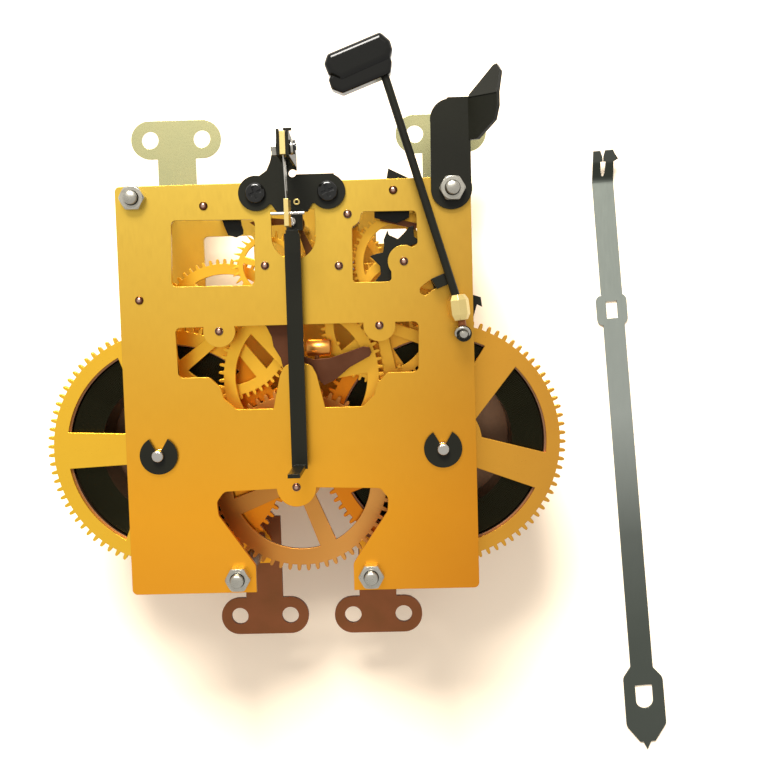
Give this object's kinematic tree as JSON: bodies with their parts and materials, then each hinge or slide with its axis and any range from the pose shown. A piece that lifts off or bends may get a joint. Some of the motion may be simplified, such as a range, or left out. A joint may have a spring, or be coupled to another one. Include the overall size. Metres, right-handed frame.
{
  "type": "longcase clock movement",
  "caption": "Spring-driven striking clock movement: brass plates on pillars, two barrel trains, anchor and crutch, hammer on a long rod, mounting feet and a loose pendulum leader.",
  "frame": {"origin": "tip of the hand arbor, on the table the movement lies on dial side down", "axes": "+Z from the dial side to the back, +Y to twelve o'clock, +X to the right as seen from the back"},
  "size_m": [0.2098, 0.2472, 0.0915],
  "materials": {
    "plate_brass": "lacquered, satin",
    "wheel_brass": "stamped, bright",
    "black_steel": "blackened, semi-gloss",
    "hammer_nylon": "moulded",
    "bright_steel": "turned, bright",
    "zinc_steel": "yellow-passivated zinc",
    "copper_rivet": "copper-plated",
    "blued_spring": "oil-tempered, dark",
    "grey_steel": "tempered, grey-green"
  },
  "bodies": {
    "frame": {"back_plate": "plate_brass", "front_plate": "plate_brass", "pillars": "bright_steel", "plate_nuts": "bright_steel", "upper_feet": "zinc_steel", "lower_feet": "zinc_steel", "foot_rivets": "copper_rivet", "front_studs": "bright_steel", "suspension_bracket": "black_steel", "suspension_top_block": "wheel_brass", "suspension_screws": "black_steel", "gong_strap": "black_steel", "click_springs": "blued_spring", "arbor_clips": "black_steel"},
    "suspension": {"suspension_strip": "bright_steel", "suspension_low_block": "wheel_brass", "suspension_pin": "bright_steel"},
    "verge": {"verge_arbor": "bright_steel", "crutch": "black_steel", "pallets": "bright_steel"},
    "going_barrel": {"going_great_wheel": "wheel_brass", "going_barrel": "bright_steel", "going_mainspring": "blued_spring"},
    "going_winder": {"going_winding_arbor": "bright_steel", "going_ratchet": "bright_steel"},
    "going_click": {"going_click": "bright_steel"},
    "strike_barrel": {"strike_great_wheel": "wheel_brass", "strike_barrel": "bright_steel", "strike_mainspring": "blued_spring"},
    "strike_winder": {"strike_winding_arbor": "bright_steel", "strike_ratchet": "bright_steel"},
    "strike_click": {"strike_click": "bright_steel"},
    "second": {"second_wheel": "wheel_brass", "second_arbor": "bright_steel"},
    "centre": {"centre_wheel": "wheel_brass", "centre_arbor": "bright_steel", "cannon_pinion": "wheel_brass"},
    "third": {"third_wheel": "wheel_brass", "third_arbor": "bright_steel"},
    "escape": {"escape_wheel": "wheel_brass", "escape_arbor": "bright_steel"},
    "pin": {"pin_wheel": "wheel_brass", "pin_wheel_arbor": "bright_steel"},
    "locking": {"locking_wheel": "wheel_brass", "locking_arbor": "bright_steel"},
    "warning": {"warning_wheel": "wheel_brass", "warning_arbor": "bright_steel"},
    "fly": {"fly": "wheel_brass", "fly_arbor": "bright_steel"},
    "hammer": {"hammer_arbor": "black_steel", "hammer_hub": "wheel_brass", "hammer_rod": "black_steel", "hammer_head": "hammer_nylon"},
    "locking_lever": {"locking_lever": "black_steel"},
    "warning_lever": {"warning_lever": "black_steel"},
    "lifting_lever": {"lifting_lever": "copper_rivet"},
    "minute": {"minute_wheel": "wheel_brass"},
    "hour": {"hour_wheel": "wheel_brass"},
    "rack": {"rack": "wheel_brass"},
    "leader": {"pendulum_leader": "grey_steel"}
  },
  "joints": [
    {"name": "suspension_swing", "type": "hinge", "parent": "frame", "child": "suspension", "pos_m": [0, 0.0652, 0.088], "axis": [0, 0, 1], "range_deg": [-3, 3]},
    {"name": "crutch_swing", "type": "hinge", "parent": "frame", "child": "verge", "pos_m": [0, 0.0478, 0.047], "axis": [0, 0, 1], "range_deg": [-3, 3]},
    {"name": "going_barrel_turn", "type": "hinge", "parent": "frame", "child": "going_barrel", "pos_m": [-0.0438, -0.02235, 0.05], "axis": [0, 0, 1], "continuous": true},
    {"name": "going_winding", "type": "hinge", "parent": "frame", "child": "going_winder", "pos_m": [-0.0438, -0.02235, 0.047], "axis": [0, 0, 1], "continuous": true},
    {"name": "going_click_lift", "type": "hinge", "parent": "frame", "child": "going_click", "pos_m": [-0.0313, -0.01435, 0.025], "axis": [0, 0, -1], "range_deg": [0, 8], "stiffness_Nm_per_rad": 0.002, "springref_deg": -11.46},
    {"name": "strike_barrel_turn", "type": "hinge", "parent": "frame", "child": "strike_barrel", "pos_m": [0.0438, -0.02235, 0.05], "axis": [0, 0, 1], "continuous": true},
    {"name": "strike_winding", "type": "hinge", "parent": "frame", "child": "strike_winder", "pos_m": [0.0438, -0.02235, 0.047], "axis": [0, 0, 1], "continuous": true},
    {"name": "strike_click_lift", "type": "hinge", "parent": "frame", "child": "strike_click", "pos_m": [0.0313, -0.01435, 0.025], "axis": [0, 0, 1], "range_deg": [0, 8], "stiffness_Nm_per_rad": 0.002, "springref_deg": -11.46},
    {"name": "second_turn", "type": "hinge", "parent": "frame", "child": "second", "pos_m": [-0.0017, -0.0333, 0.053], "axis": [0, 0, 1], "continuous": true},
    {"name": "centre_turn", "type": "hinge", "parent": "frame", "child": "centre", "pos_m": [0, 0, 0.057], "axis": [0, 0, 1], "continuous": true},
    {"name": "third_turn", "type": "hinge", "parent": "frame", "child": "third", "pos_m": [-0.0238, 0.0154, 0.054], "axis": [0, 0, 1], "continuous": true},
    {"name": "escape_turn", "type": "hinge", "parent": "frame", "child": "escape", "pos_m": [-0.009, 0.035, 0.06], "axis": [0, 0, 1], "continuous": true},
    {"name": "pin_wheel_turn", "type": "hinge", "parent": "frame", "child": "pin", "pos_m": [0.0253, 0.0159, 0.054], "axis": [0, 0, 1], "continuous": true},
    {"name": "locking_wheel_turn", "type": "hinge", "parent": "frame", "child": "locking", "pos_m": [0.0333, 0.0351, 0.058], "axis": [0, 0, 1], "continuous": true},
    {"name": "warning_wheel_turn", "type": "hinge", "parent": "frame", "child": "warning", "pos_m": [0.0135, 0.0343, 0.04], "axis": [0, 0, 1], "continuous": true},
    {"name": "fly_turn", "type": "hinge", "parent": "frame", "child": "fly", "pos_m": [0.0166, 0.0498, 0.048], "axis": [0, 0, 1], "continuous": true},
    {"name": "hammer_swing", "type": "hinge", "parent": "frame", "child": "hammer", "pos_m": [0.0505, 0.0129, 0.074], "axis": [0, 0, 1], "range_deg": [0, 8], "stiffness_Nm_per_rad": 0.02, "springref_deg": -11.46},
    {"name": "locking_lever_lift", "type": "hinge", "parent": "frame", "child": "locking_lever", "pos_m": [0.0306, 0.0566, 0.063], "axis": [0, 0, -1], "range_deg": [0, 4]},
    {"name": "warning_lever_lift", "type": "hinge", "parent": "frame", "child": "warning_lever", "pos_m": [-0.0271, 0.0535, 0.063], "axis": [0, 0, 1], "range_deg": [0, 6]},
    {"name": "lifting_lever_lift", "type": "hinge", "parent": "frame", "child": "lifting_lever", "pos_m": [-0.0479, 0.0255, 0.063], "axis": [0, 0, 1], "range_deg": [0, 3]},
    {"name": "minute_wheel_turn", "type": "hinge", "parent": "frame", "child": "minute", "pos_m": [0.0116, -0.00853, 0.023], "axis": [0, 0, 1], "continuous": true},
    {"name": "hour_wheel_turn", "type": "hinge", "parent": "frame", "child": "hour", "pos_m": [0, 0, 0.019], "axis": [0, 0, 1], "continuous": true},
    {"name": "rack_fall", "type": "hinge", "parent": "frame", "child": "rack", "pos_m": [-0.024, -0.01, 0.018], "axis": [0, 0, 1], "range_deg": [0, 10]},
    {"name": "leader_lift", "type": "slide", "parent": "frame", "child": "leader", "axis": [0, 0, 1], "range_m": [0, 0.03]}
  ],
  "couplings": [
    {"joint": "second_turn", "follows": "centre_turn", "ratio": -0.16667},
    {"joint": "going_barrel_turn", "follows": "centre_turn", "ratio": 0.01938},
    {"joint": "third_turn", "follows": "centre_turn", "ratio": -8},
    {"joint": "escape_turn", "follows": "centre_turn", "ratio": 60},
    {"joint": "minute_wheel_turn", "follows": "centre_turn", "ratio": -0.33333},
    {"joint": "hour_wheel_turn", "follows": "centre_turn", "ratio": 0.083333},
    {"joint": "pin_wheel_turn", "follows": "locking_wheel_turn", "ratio": -0.14286},
    {"joint": "strike_barrel_turn", "follows": "locking_wheel_turn", "ratio": 0.013289},
    {"joint": "warning_wheel_turn", "follows": "locking_wheel_turn", "ratio": -4},
    {"joint": "fly_turn", "follows": "locking_wheel_turn", "ratio": 24}
  ]
}
